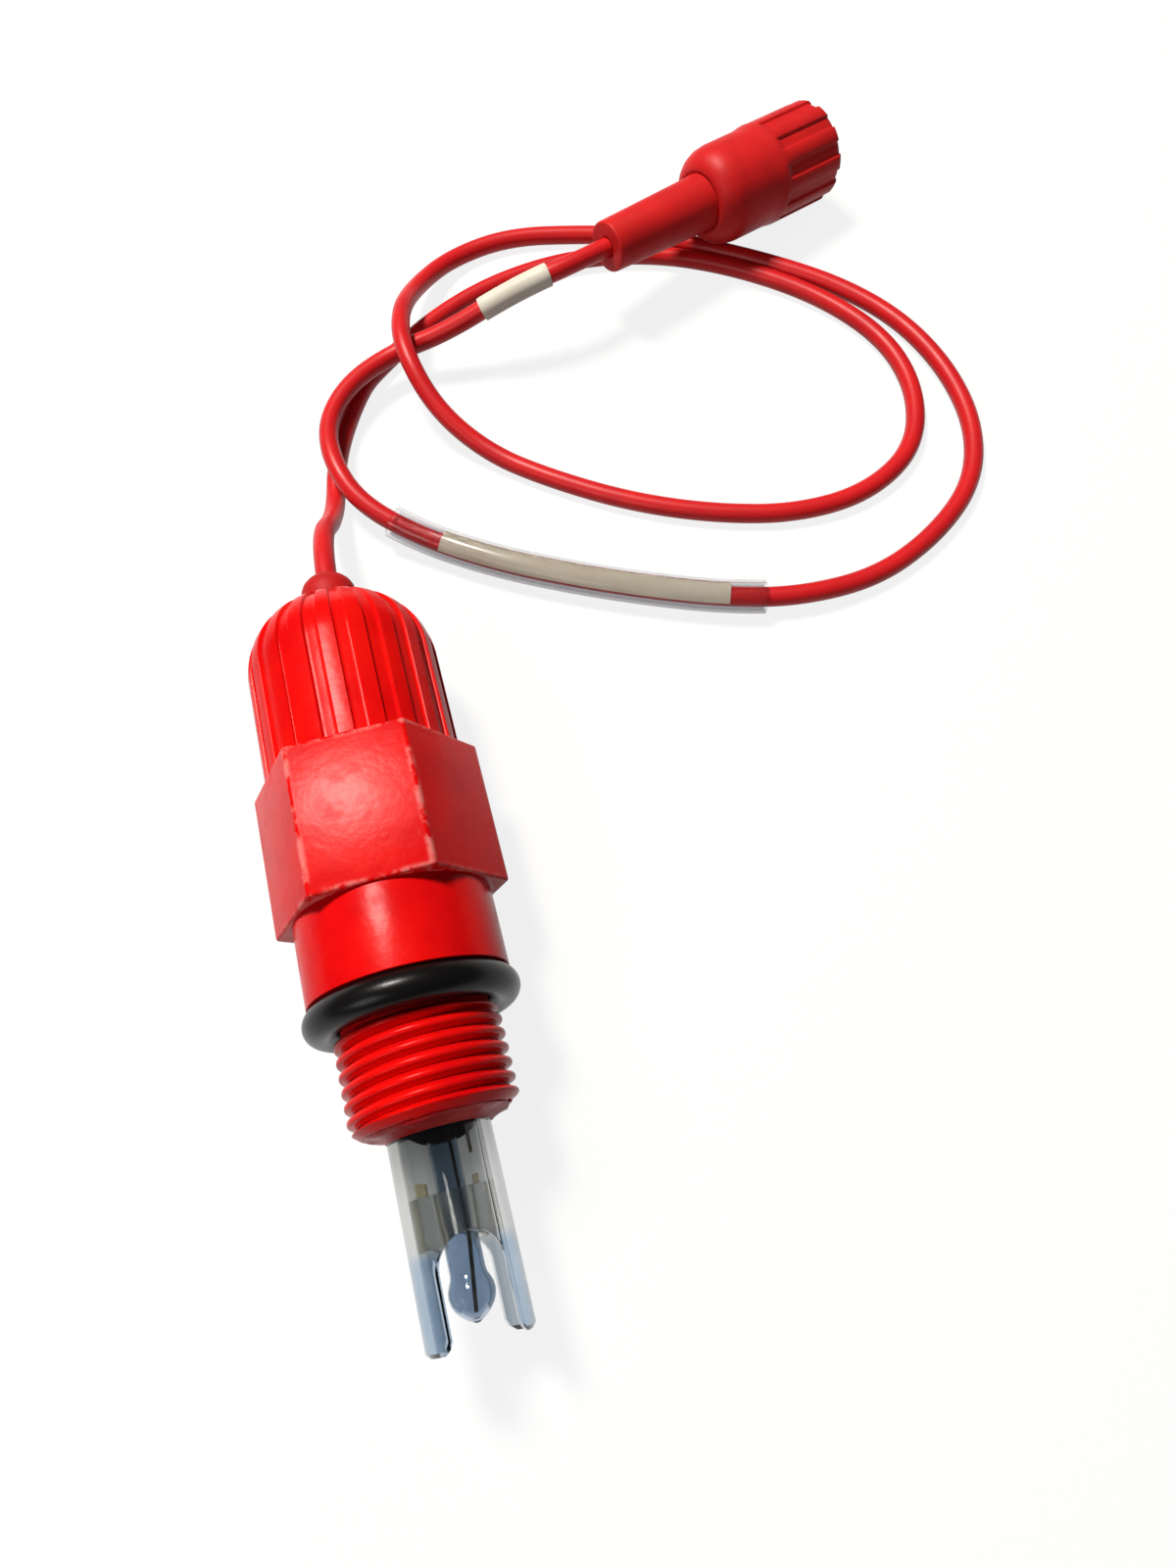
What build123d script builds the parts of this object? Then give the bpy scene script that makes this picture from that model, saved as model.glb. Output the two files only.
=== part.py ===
import os
from math import ceil, cos, radians, sin, sqrt, tan

from build123d import *

os.makedirs("parts", exist_ok=True)

# Every length is in millimetres. Along the probe, u runs from the front face of the hexagon
# (u = 0) back to the cable; the tip is at negative u.
# The radii of body and cap follow the hexagon: collar, ring seat, thread, counterbore and cap.
hex_flats = 27.0
hex_length = 20.3
collar_step = 0.55
collar_r = hex_flats / 2 - collar_step
collar_length = 10.8
ring_cord = 4.4
ring_proud = 0.85
ring_stretch = 0.1
ring_mean_r = collar_r + ring_proud - ring_cord / 2
ring_u = -13.02
relief_r = ring_mean_r - ring_cord / 2 - ring_stretch
thread_over_relief = 1.1775
thread_r = relief_r + thread_over_relief
thread_pitch = 1.814
thread_depth = 1.162
thread_crest = 0.24
thread_root = 0.2
thread_phase = -20.75
thread_start = -15.3
thread_end = -26.2
nose_end = -27.4
nose_step = 1.4775
nose_r = thread_r - nose_step
axis_height = ring_mean_r + ring_cord / 2

shaft_r = 6.35
shaft_wall = 1.2
shaft_tip = -51.8
shaft_top = 8.0
slot_half = 3.8
slot_centre = -43.85
slot_turn = 16.0
mouth_half = 4.7
mouth_depth = 1.3
run_gap = 0.02

socket_wall = 3.3
counterbore_r = hex_flats / 2 - socket_wall
counterbore_start = 9.5
shoulder_r = 5.4
cap_step = 0.15
cap_r = hex_flats / 2 - cap_step
spigot_r = counterbore_r - 0.03
spigot_length = 8.0
spigot_wall = 1.67
cap_bore_r = spigot_r - spigot_wall
cap_bore_top = 36.0
flutes = 20
flute_depth = 0.45
grommet_hole_r = 3.03
cap_floor = 43.5
floor_r = 5.2

grommet_r = 4.0
grommet_flange_r = 4.8
grommet_flange = 1.5
grommet_rise = 4.9
grommet_end = 53.0
cable_r = 1.6

# The cap is a cylinder, then a dome arc, then a flatter crown that ends at a rim round the grommet.
rim = 0.2
dome_inset = 1.85
dome_sweep = 50.0
crown_sweep = 17.0
dome_r = cap_r - dome_inset
dome_end_r = cap_r - dome_r * (1 - cos(radians(dome_sweep)))
crown_u = grommet_end - grommet_rise
crown_r = (dome_end_r - grommet_r - rim) / (cos(radians(dome_sweep)) - cos(radians(dome_sweep + crown_sweep)))
dome_rise = dome_r * sin(radians(dome_sweep))
crown_rise = crown_r * (sin(radians(dome_sweep + crown_sweep)) - sin(radians(dome_sweep)))
cap_straight = crown_u - hex_length - dome_rise - crown_rise

glass_r = 2.1
glass_wall = 0.35
glass_top = 9.0
holder_bottom = -41.1
holder_top = -35.5
rod_r = 0.5
rod_radius = 3.65
rod_top = -33.8
wire_r = 0.25
measuring_x = 1.0
measuring_tip = -48.6
measuring_bend = -40.6
measuring_top = 12.0
measuring_bend_r = 20.0
reference_x = 3.6
reference_bottom = -31.5
reference_top = 10.5
stopper_bottom = 2.0
stopper_top = 7.0

tail_low = 36.0
clamp_r = 3.0
clamp_flats = 5.2
clamp_bottom = 37.5
clamp_top = 40.5
core_x = -0.7
core_jacket_r = 0.55
core_bends = (17.0, 28.0)
screen_x = 0.95
screen_jacket_r = 0.4
screen_bends = (19.0, 29.0)
lead_bend_r = 6.0

glue_width = 2.6
glue_gap = 0.01
glue_waist = 0.32
glue_slump = 0.35
glue_reach = 1.0

probe_shift = -(grommet_end + shaft_tip) / 2
probe_place = Plane(origin=(0, probe_shift, axis_height), x_dir=(1, 0, 0), z_dir=(0, 1, 0)).location

# Along the plug, s runs from the rear face of the boot to the mouth.
plug_rear = (58.5, 105.9, 14.0)
plug_heading = radians(23.4)
plug_dip = radians(6.5)
plug_axis = (cos(plug_heading) * cos(plug_dip), sin(plug_heading) * cos(plug_dip), -sin(plug_dip))
plug_place = Plane(origin=plug_rear, z_dir=plug_axis).location
boot_rear_r = 4.17
boot_front_r = 4.68
boot_length = 22.5
shell_rear = 21.6
shell_front = 49.2
shell_r = 8.2
grip_r = 8.52
grip_start = 34.4
grip_ribs = 11
nut_r = 7.24
nut_rear = 28.8
nut_front = 48.6
nut_bore_r = 4.95
chamber_r = 6.0
retainer_depth = 1.2
washer_depth = 0.8
flange_rear = 33.0
flange_front = 34.2
flange_r = 5.9
neck_r = 4.55
spigot_rear = 8.0
tail_r = 2.6
sleeve_r = 4.05
sleeve_wall = 0.6
sleeve_front = 46.5
dielectric_r = 2.97
dielectric_front = 38.0
dielectric_rear = 24.0
pin_r = 0.675
pin_front = 45.5
core_r = 0.9
lead_inside = 5.5
lug_r = 5.75
lug_width = 2.3

marker_r = 1.95
label_r = 2.65
label_bore_r = 2.2
cover_gap = 0.02


def face_of(points):
    return Plane.XZ * make_face(Polyline(*points, close=True))


def turn(points, sweep=360):
    return revolve(face_of(points), Axis.Z, sweep)


def tube(outer, inner, low, high):
    return turn([(inner, low), (outer, low), (outer, high), (inner, high)])


def rod(radius, low, high, x=0.0, y=0.0):
    return Pos(x, y, (low + high) / 2) * Cylinder(radius, high - low)


def save(name, solid, place=None):
    shape = place * solid if place is not None else solid
    shape.label = name
    export_step(shape, f"parts/{name}.step")
    print(name, round(shape.volume, 1), "solids", len(shape.solids()))


def along(points, radii, section):
    if len(points) == 2:
        path = Line(*points)
    else:
        path = FilletPolyline(*points, radius=radii)
    return sweep(Plane(path @ 0, z_dir=path % 0) * section, path)


# probe body: threaded nose, groove for the ring, collar and hexagon
nose = turn([
    (0, nose_end), (nose_r, nose_end), (thread_r, thread_end), (thread_r, thread_start - 0.3),
    (thread_r - 0.3, thread_start), (relief_r, thread_start), (relief_r, -collar_length),
    (collar_r - 0.4, -collar_length), (collar_r, 0.4 - collar_length), (collar_r, 0.5), (0, 0.5)])

# The thread is cut as one helical groove, from beyond the nose's end into the ring's relief.
root_r = thread_r - thread_depth
over_crest = 0.08
turns_ahead = ceil((thread_phase - nose_end) / thread_pitch) + 1
turns_behind = ceil((thread_start - thread_phase) / thread_pitch) + 1
mouth = (thread_pitch - thread_crest) / 2
flank = (mouth - thread_root / 2) / thread_depth
groove_u = thread_phase + thread_pitch / 2 - turns_ahead * thread_pitch
helix = Helix(thread_pitch, thread_pitch * (turns_ahead + turns_behind), root_r, center=(0, 0, groove_u))
groove = Plane(origin=helix @ 0, x_dir=(1, 0, 0), z_dir=helix % 0) * make_face(Polyline(
    (0, -thread_root / 2), (thread_depth + over_crest, -mouth - over_crest * flank),
    (thread_depth + over_crest, mouth + over_crest * flank), (0, thread_root / 2), close=True))
nose -= sweep(groove, helix, is_frenet=True)

hexagon = extrude(RegularPolygon(hex_flats / 2, 6, major_radius=False), hex_length)
corner_r = hex_flats / sqrt(3)
hexagon = hexagon & turn([
    (0, 0), (corner_r - 0.5, 0), (corner_r, 0.4), (corner_r, hex_length - 0.4),
    (corner_r - 0.5, hex_length), (0, hex_length)])
bore = turn([
    (0, nose_end - 1), (shaft_r + run_gap, nose_end - 1), (shaft_r + run_gap, shaft_top),
    (shoulder_r, shaft_top), (shoulder_r, counterbore_start), (counterbore_r, counterbore_start),
    (counterbore_r, hex_length + 1), (0, hex_length + 1)])
save("probe_body", nose + hexagon - bore, probe_place)

save("body_o_ring", Pos(0, 0, ring_u) * Torus(ring_mean_r, ring_cord / 2), probe_place)
bead_bore_r = shaft_r + run_gap
save("glue_bead", turn([
    (bead_bore_r, nose_end - glue_gap), (bead_bore_r + glue_width, nose_end - glue_gap),
    (bead_bore_r + glue_waist * glue_width, nose_end - glue_slump),
    (bead_bore_r, nose_end - glue_reach)]), probe_place)

# cap: spigot, straight part, dome with flutes
side = Line((cap_r, hex_length), (cap_r, hex_length + cap_straight))
dome = JernArc(side @ 1, side % 1, dome_r, dome_sweep)
crown = JernArc(dome @ 1, dome % 1, crown_r, crown_sweep)
rest = Polyline(
    crown @ 1, (grommet_hole_r, crown_u), (grommet_hole_r, cap_floor), (floor_r, cap_floor),
    (cap_bore_r, cap_bore_top), (cap_bore_r, hex_length - spigot_length),
    (spigot_r, hex_length - spigot_length), (spigot_r, hex_length), (cap_r, hex_length))
cap = revolve(Plane.XZ * make_face([side, dome, crown, rest]), Axis.Z)
low = Line((cap_r - flute_depth, hex_length), (cap_r - flute_depth, hex_length + cap_straight))
low_dome = JernArc(low @ 1, low % 1, dome_r - flute_depth, dome_sweep)
low_crown = JernArc(low_dome @ 1, low_dome % 1, crown_r - flute_depth, crown_sweep - 3)
outside = Polyline(
    low_crown @ 1, ((low_crown @ 1).X, grommet_end), (cap_r + 2, grommet_end), (cap_r + 2, hex_length),
    low @ 0)
flute = revolve(Plane.XZ * make_face([low, low_dome, low_crown, outside]), Axis.Z, 180 / flutes)
cap = cap - [Rot(0, 0, 360 / flutes * i) * flute for i in range(flutes)]
save("fluted_cap", cap, probe_place)

grommet = turn([
    (cable_r + run_gap, cap_floor - grommet_flange), (grommet_flange_r, cap_floor - grommet_flange),
    (grommet_flange_r, cap_floor),
    (grommet_hole_r - 0.03, cap_floor), (grommet_hole_r - 0.03, crown_u), (grommet_r, crown_u),
    (grommet_r, grommet_end - 2.6), (3.85, grommet_end - 1.9), (3.45, grommet_end - 1.1),
    (2.85, grommet_end - 0.5), (2.2, grommet_end), (cable_r + run_gap, grommet_end)])
save("cable_grommet", grommet, probe_place)

# clear shaft with a fork at its end
slot = Rot(0, 0, slot_turn) * (
    Pos(0, 0, slot_centre) * Rot(90, 0, 0) * Cylinder(slot_half, 30)
    + extrude(Plane.XZ * make_face(Polyline(
        (slot_half, slot_centre), (slot_half, shaft_tip + mouth_depth), (mouth_half, shaft_tip),
        (mouth_half, shaft_tip - 1), (-mouth_half, shaft_tip - 1), (-mouth_half, shaft_tip),
        (-slot_half, shaft_tip + mouth_depth), (-slot_half, slot_centre), close=True)), 15, both=True))
shaft_bore_r = shaft_r - shaft_wall
shaft = turn([
    (shaft_bore_r, shaft_tip), (shaft_r - 0.5, shaft_tip), (shaft_r, shaft_tip + 0.5),
    (shaft_r, shaft_top), (shaft_bore_r, shaft_top)])
save("shaft_tube", shaft - slot, probe_place)

rod_spots = [(rod_radius * cos(radians(slot_turn + a)), rod_radius * sin(radians(slot_turn + a)))
             for a in (0, 180)]
holder = tube(shaft_bore_r - run_gap, glass_r + 0.03, holder_bottom, holder_top)
for x, y in rod_spots:
    holder -= rod(rod_r + run_gap, holder_bottom - 1, holder_top + 1, x, y)
save("end_plug", holder - slot, probe_place)
save("junction_rod_right", rod(rod_r, holder_bottom, rod_top, *rod_spots[0]), probe_place)
save("junction_rod_left", rod(rod_r, holder_bottom, rod_top, *rod_spots[1]), probe_place)

glass = turn([
    (0, -49.7), (0.5, -49.58), (1.4, -49.1), (2.2, -48.3), (2.62, -47.5), (2.75, -46.7), (2.68, -45.9),
    (2.4, -45.2), (glass_r, -44.6), (glass_r, glass_top), (glass_r - glass_wall, glass_top),
    (glass_r - glass_wall, -44.75), (2.05, -45.35), (2.32, -46.0), (2.4, -46.7), (2.28, -47.35),
    (1.92, -48.05), (1.2, -48.75), (0.4, -49.18), (0, -49.27)])
save("glass_bulb", glass, probe_place)
save("measuring_wire", along(
    [(0.05, 0, measuring_tip), (measuring_x, 0, measuring_bend), (measuring_x, 0, measuring_top)],
    [measuring_bend_r], Circle(wire_r)), probe_place)
save("reference_wire", rod(wire_r, reference_bottom, reference_top, reference_x), probe_place)

stopper = tube(shaft_bore_r - run_gap, glass_r + 0.03, stopper_bottom, stopper_top)
save("tube_stopper", stopper - rod(wire_r + run_gap, 0, 9, reference_x), probe_place)

# inside the cap
cord_start_u = 44.6
save("lead_tail", rod(cable_r, tail_low, cord_start_u), probe_place)
clamp = tube(clamp_r, cable_r + run_gap, clamp_bottom, clamp_top)
save("cable_clamp", clamp & Box(clamp_flats, clamp_flats, 2 * (clamp_top + 1)), probe_place)


def jacket(from_x, from_u, to_x, bends, radius):
    points = [(from_x, 0, from_u), (from_x, 0, bends[0]), (to_x, 0, bends[1]), (to_x, 0, tail_low)]
    return along(points, [lead_bend_r, lead_bend_r], Circle(radius))


save("core_lead", jacket(measuring_x, measuring_top, core_x, core_bends, core_jacket_r), probe_place)
save("screen_lead", jacket(reference_x, reference_top, screen_x, screen_bends, screen_jacket_r), probe_place)

# plug
save("plug_boot", turn([
    (cable_r + run_gap, 0), (boot_rear_r - 0.5, 0), (boot_rear_r, 0.5), (boot_front_r, boot_length),
    (3.15, boot_length), (3.15, spigot_rear), (cable_r + run_gap, spigot_rear)]), plug_place)
save("plug_cable_end", rod(cable_r, lead_inside, spigot_rear), plug_place)
save("plug_core", rod(core_r, spigot_rear, dielectric_rear), plug_place)
save("crimp_ferrule", tube(3.1, tail_r + run_gap, 9.0, 19.0), plug_place)
save("plug_body", turn([
    (core_r + 0.05, spigot_rear), (tail_r, spigot_rear), (tail_r, boot_length + 0.1),
    (neck_r, boot_length + 0.1), (neck_r, flange_rear), (flange_r, flange_rear),
    (flange_r, flange_front), (dielectric_r + 0.03, flange_front),
    (dielectric_r + 0.03, dielectric_rear), (core_r + 0.05, dielectric_rear)]), plug_place)
save("dielectric", tube(dielectric_r, pin_r + 0.02, dielectric_rear, dielectric_front), plug_place)
save("centre_pin", turn([
    (0, dielectric_rear), (pin_r, dielectric_rear), (pin_r, pin_front - 0.8), (0.3, pin_front),
    (0, pin_front)]), plug_place)
sleeve = tube(sleeve_r, sleeve_r - sleeve_wall, flange_front, sleeve_front)
for i in range(2):
    sleeve -= Rot(0, 0, 45 + 90 * i) * Pos(0, 0, 42.3) * Box(12, 0.6, 9)
save("contact_sleeve", sleeve, plug_place)
save("face_gasket", tube(nut_bore_r - 0.1, sleeve_r + 0.05, flange_front, flange_front + 1.0), plug_place)

washer_rear = nut_rear + retainer_depth + run_gap
save("rear_retainer", tube(chamber_r - 0.01, neck_r + 0.1, nut_rear, nut_rear + retainer_depth), plug_place)
save("thrust_washer", tube(chamber_r - 0.1, neck_r + 0.05, washer_rear, washer_rear + washer_depth), plug_place)

# wave washer: three waves of split wire between the thrust washer and the flange
wave_r = 5.3
wave_low = washer_rear + washer_depth + 0.22
wave_high = flange_rear - 0.22
wave_mid = (wave_low + wave_high) / 2
wave_rise = (wave_high - wave_low) / 2
ring_path = Spline(
    *[(wave_r * cos(radians(a)), wave_r * sin(radians(a)), wave_mid + wave_rise * cos(3 * radians(a)))
      for a in range(5, 360, 14)])
save("wave_washer", sweep(Plane(ring_path @ 0, z_dir=ring_path % 0) * Circle(0.2), ring_path), plug_place)

nut = turn([
    (chamber_r, nut_rear), (nut_r, nut_rear), (nut_r, nut_front), (nut_bore_r, nut_front),
    (nut_bore_r, flange_front + 0.05), (chamber_r, flange_front + 0.05)])
for i in range(2):
    nut -= Rot(0, 0, 180 * i) * Pos(nut_bore_r, 0, 46.0) * Box(2 * (lug_r - nut_bore_r), lug_width, 6)
    nut -= Rot(0, 0, 180 * i - 12) * turn(
        [(4.0, 41.6), (lug_r, 41.6), (lug_r, 43.9), (4.0, 43.9)], 90)
save("bayonet_ring", nut, plug_place)

shell = turn([
    (4.85, shell_rear), (5.5, shell_rear), (7.0, 22.6), (7.85, 23.9), (shell_r, 25.9),
    (shell_r, grip_start), (grip_r, grip_start), (grip_r, shell_front - 1.0),
    (grip_r - 0.3, shell_front - 0.3), (grip_r - 1.0, shell_front), (nut_r + 0.01, shell_front),
    (nut_r + 0.01, nut_rear), (6.3, nut_rear), (6.3, 24.6), (4.85, 23.6)])
grip_groove = turn([
    (shell_r - 0.15, grip_start + 2.0), (grip_r + 1, grip_start + 2.0), (grip_r + 1, shell_front - 1.2),
    (shell_r - 0.15, shell_front - 1.2)], 180 / grip_ribs)
shell = shell - [Rot(0, 0, 360 / grip_ribs * i) * grip_groove for i in range(grip_ribs)]
save("coupling_shell", shell, plug_place)

# The lead lies in a loose coil on the table, from the grommet to the boot. Corners of its run.
rear = Vector(*plug_rear)
ahead = Vector(*plug_axis)
route = [
    (0, cord_start_u + probe_shift, axis_height), (0, 60.5, axis_height), (2.1, 72.5, 1.9), (4.3, 85.3, 1.9), (10.9, 98.6, 1.9),
    (15.5, 103.3, 1.6), (27, 111.8, 1.6), (40, 117.3, 1.6), (55, 119, 1.6),
    (70, 116, 1.6), (83.5, 108.6, 1.6), (96, 97.6, 1.6), (104, 84.5, 1.6), (105, 71.5, 1.6),
    (100, 59.5, 1.6), (89, 53, 1.6), (76, 52.4, 1.6), (63, 56.2, 1.6), (50.5, 62.3, 1.6),
    (39, 70.5, 1.6), (30, 78.5, 1.8), (23, 87, 5.5), (20, 97, 10), (21, 107, 9), (25, 117, 4.5),
    (33, 125.5, 1.7), (45, 128, 1.6), (59, 124.5, 1.6), (70.5, 120.5, 1.6), (79.8, 114.8, 1.6),
    (90.8, 107, 1.6), (101, 98, 1.6), (108.5, 87, 1.6), (112, 74, 1.6), (111.5, 61, 1.6),
    (106.5, 50, 1.6), (96.5, 42, 1.6), (84.5, 37, 1.6), (71, 36.4, 2.7), (60, 39.4, 2.7),
    (49, 44, 2.7), (38, 49.4, 2.7), (26.5, 55.9, 2.7), (15.5, 64, 2.7), (6.8, 71.8, 5),
    (3.9, 80, 7), (4.4, 89.8, 5.8), (10, 97.5, 5.6), (19, 102.3, 5.2), (28, 101.6, 7.6),
    (41, 102, 13), tuple(rear - ahead * 5.9), tuple(rear + ahead * lead_inside)]


def corner_radii(points):
    radii = []
    for a, b, c in zip(points, points[1:], points[2:]):
        one, two = Vector(*b) - Vector(*a), Vector(*c) - Vector(*b)
        radii.append(0.45 * min(one.length, two.length) / tan(radians(one.get_angle(two)) / 2))
    return radii


radii = corner_radii(route)
print("corner radii", [round(r, 1) for r in radii])
cable_path = FilletPolyline(*route, radius=radii)
print("cable length", round(cable_path.length, 1))
cable = along(route, radii, Circle(cable_r))
save("lead_cable", cable)


def cover(first, last, section):
    start = (Vector(*route[first]) + Vector(*route[first + 1])) / 2
    end = (Vector(*route[last]) + Vector(*route[last + 1])) / 2
    corners = [tuple(start), *route[first + 1:last + 1], tuple(end)]
    return along(corners, radii[first:last], section)


save("marker_sleeve", cover(49, 50, Circle(marker_r) - Circle(cable_r + cover_gap)))
save("label_sleeve", cover(38, 43, Circle(label_r) - Circle(label_bore_r)))
save("label_insert", cover(38, 42, Circle(label_bore_r - cover_gap) - Circle(cable_r + cover_gap)))
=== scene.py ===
import math
import random

import bpy
from mathutils import Matrix, Vector


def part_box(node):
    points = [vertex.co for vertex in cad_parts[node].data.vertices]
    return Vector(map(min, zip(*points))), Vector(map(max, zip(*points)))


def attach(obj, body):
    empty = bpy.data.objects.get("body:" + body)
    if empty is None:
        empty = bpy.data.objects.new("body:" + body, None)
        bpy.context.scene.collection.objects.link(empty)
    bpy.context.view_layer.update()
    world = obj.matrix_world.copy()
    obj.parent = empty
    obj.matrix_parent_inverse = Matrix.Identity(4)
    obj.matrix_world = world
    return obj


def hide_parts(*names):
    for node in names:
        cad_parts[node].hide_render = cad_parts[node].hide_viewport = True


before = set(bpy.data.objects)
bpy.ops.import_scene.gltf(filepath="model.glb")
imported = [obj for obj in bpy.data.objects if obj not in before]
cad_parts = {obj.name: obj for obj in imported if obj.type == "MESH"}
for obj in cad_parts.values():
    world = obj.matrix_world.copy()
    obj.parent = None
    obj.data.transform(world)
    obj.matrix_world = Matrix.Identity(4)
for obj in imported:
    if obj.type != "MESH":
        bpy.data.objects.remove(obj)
bpy.ops.object.select_all(action="DESELECT")
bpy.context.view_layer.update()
scene = bpy.context.scene
mm = 0.001
rootBody = "probe_and_lead"
turningBody = "coupling"

# where the probe and the plug lie, taken from the frame (u runs along each from its own zero)
ringLow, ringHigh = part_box("body_o_ring")
hexLow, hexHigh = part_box("probe_body")
axisHeight = (ringLow.z + ringHigh.z) / 2
probe = {"hexFlats": 27.0, "hexLength": 20.3, "noseEnd": -27.4}
probeZero = hexLow.y - probe["noseEnd"] * mm
probePlace = Matrix(((1, 0, 0, 0), (0, 0, 1, probeZero), (0, -1, 0, axisHeight), (0, 0, 0, 1)))
plug = {"rear": (58.5, 105.9, 14.0), "heading": 23.4, "dip": 6.5}


def plugMatrix():
    heading, dip = math.radians(plug["heading"]), math.radians(plug["dip"])
    ahead = Vector((math.cos(heading) * math.cos(dip), math.sin(heading) * math.cos(dip), -math.sin(dip)))
    side = ahead.cross(Vector((0, 0, 1))).normalized()
    up = side.cross(ahead)
    turn = Matrix((side, up, ahead)).transposed()
    if turn.determinant() < 0:
        turn = Matrix((-side, up, ahead)).transposed()
    return Matrix.Translation(Vector(plug["rear"]) * mm) @ turn.to_4x4()


plugPlace = plugMatrix()


# shader maths

class Wire:
    def __init__(self, maker, socket):
        self.maker = maker
        self.socket = socket

    def maths(self, operation, a, b=None, c=None):
        values = {0: a}
        if b is not None:
            values[1] = b
        if c is not None:
            values[2] = c
        return self.maker.node("ShaderNodeMath", {"operation": operation}, values)

    def __add__(self, other):
        return self.maths("ADD", self, other)

    def __radd__(self, other):
        return self.maths("ADD", other, self)

    def __sub__(self, other):
        return self.maths("SUBTRACT", self, other)

    def __rsub__(self, other):
        return self.maths("SUBTRACT", other, self)

    def __mul__(self, other):
        return self.maths("MULTIPLY", self, other)

    def __rmul__(self, other):
        return self.maths("MULTIPLY", other, self)

    def __truediv__(self, other):
        return self.maths("DIVIDE", self, other)

    def __abs__(self):
        return self.maths("ABSOLUTE", self)

    def power(self, other):
        return self.maths("POWER", self, other)

    def biggest(self, other):
        return self.maths("MAXIMUM", self, other)

    def smallest(self, other):
        return self.maths("MINIMUM", self, other)

    def between(self, low, high, start=0.0, end=1.0):
        settings = {"interpolation_type": "SMOOTHSTEP"}
        values = {"Value": self, "From Min": low, "From Max": high, "To Min": start, "To Max": end}
        return self.maker.node("ShaderNodeMapRange", settings, values)


class Finish:
    def __init__(self, name):
        self.material = bpy.data.materials.new(name)
        self.material.use_nodes = True
        self.tree = self.material.node_tree
        self.tree.nodes.clear()
        self.place = self.node("ShaderNodeTexCoord", {}, {}, "Object")

    def node(self, kind, settings, values, output=0):
        made = self.tree.nodes.new(kind)
        for key, value in settings.items():
            if key == "stops":
                ramp = made.color_ramp
                while len(ramp.elements) < len(value):
                    ramp.elements.new(0.5)
                for element, (position, colour) in zip(ramp.elements, value):
                    element.position = position
                    element.color = colour
            else:
                setattr(made, key, value)
        for key, value in values.items():
            if isinstance(value, Wire):
                self.tree.links.new(value.socket, made.inputs[key])
            else:
                made.inputs[key].default_value = value
        return Wire(self, made.outputs[output])

    def parts(self):
        made = self.tree.nodes.new("ShaderNodeSeparateXYZ")
        self.tree.links.new(self.place.socket, made.inputs[0])
        return [Wire(self, output) for output in made.outputs]

    def noise(self, scale, detail=3.0, rough=0.55, stretch=None):
        where = self.place
        if stretch:
            where = self.node("ShaderNodeMapping", {}, {"Vector": where, "Scale": stretch})
        values = {"Vector": where, "Scale": scale, "Detail": detail, "Roughness": rough}
        return self.node("ShaderNodeTexNoise", {}, values)

    def blend(self, factor, a, b):
        made = self.tree.nodes.new("ShaderNodeMix")
        made.data_type = "RGBA"
        for index, value in ((0, factor), (6, a), (7, b)):
            if isinstance(value, Wire):
                self.tree.links.new(value.socket, made.inputs[index])
            else:
                made.inputs[index].default_value = value
        return Wire(self, made.outputs[2])

    def bump(self, height, strength, distance, under=None):
        values = {"Height": height, "Strength": strength, "Distance": distance}
        if under:
            values["Normal"] = under
        return self.node("ShaderNodeBump", {}, values)

    def surface(self, **sockets):
        values = {key.replace("_", " "): value for key, value in sockets.items()}
        shader = self.node("ShaderNodeBsdfPrincipled", {}, values)
        out = self.tree.nodes.new("ShaderNodeOutputMaterial")
        self.tree.links.new(shader.socket, out.inputs["Surface"])
        return self.material


def rgb(r, g, b, a=1.0):
    return (r, g, b, a)


# modelling helpers

def activate(obj):
    bpy.ops.object.select_all(action="DESELECT")
    obj.select_set(True)
    bpy.context.view_layer.objects.active = obj


def modify(obj, kind, **settings):
    activate(obj)
    modifier = obj.modifiers.new(kind.title(), kind)
    for key, value in settings.items():
        setattr(modifier, key, value)
    bpy.ops.object.modifier_apply(modifier=modifier.name)


def cleanMesh(obj, distance=1e-6):
    activate(obj)
    bpy.ops.object.mode_set(mode="EDIT")
    bpy.ops.mesh.select_all(action="SELECT")
    bpy.ops.mesh.remove_doubles(threshold=distance)
    bpy.ops.mesh.normals_make_consistent(inside=False)
    bpy.ops.object.mode_set(mode="OBJECT")


def drawn(name, outline):
    # a plane is merged to one point, and extruding that point draws the outline, r across and u up
    bpy.ops.object.select_all(action="DESELECT")
    bpy.ops.mesh.primitive_plane_add(size=mm, location=(0, 0, 0))
    obj = bpy.context.active_object
    obj.name = obj.data.name = name
    bpy.ops.object.mode_set(mode="EDIT")
    bpy.ops.mesh.merge(type="CENTER")
    bpy.ops.transform.translate(value=(outline[0][0] * mm, 0, outline[0][1] * mm))
    for (r, u), (nextR, nextU) in zip(outline, outline[1:]):
        step = ((nextR - r) * mm, 0, (nextU - u) * mm)
        bpy.ops.mesh.extrude_vertices_move(TRANSFORM_OT_translate={"value": step})
    bpy.ops.mesh.select_all(action="SELECT")
    bpy.ops.mesh.remove_doubles(threshold=1e-6)
    bpy.ops.object.mode_set(mode="OBJECT")
    return obj


def spun(name, outline, steps, closed=True, turns=1, pitch=0.0, angle=360.0):
    obj = drawn(name, outline[-1:] + outline if closed else outline)
    modify(obj, "SCREW", axis="Z", angle=math.radians(angle), steps=steps, render_steps=steps,
           iterations=turns, screw_offset=pitch * mm, use_merge_vertices=not pitch, merge_threshold=1e-6)
    cleanMesh(obj)
    return obj


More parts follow.
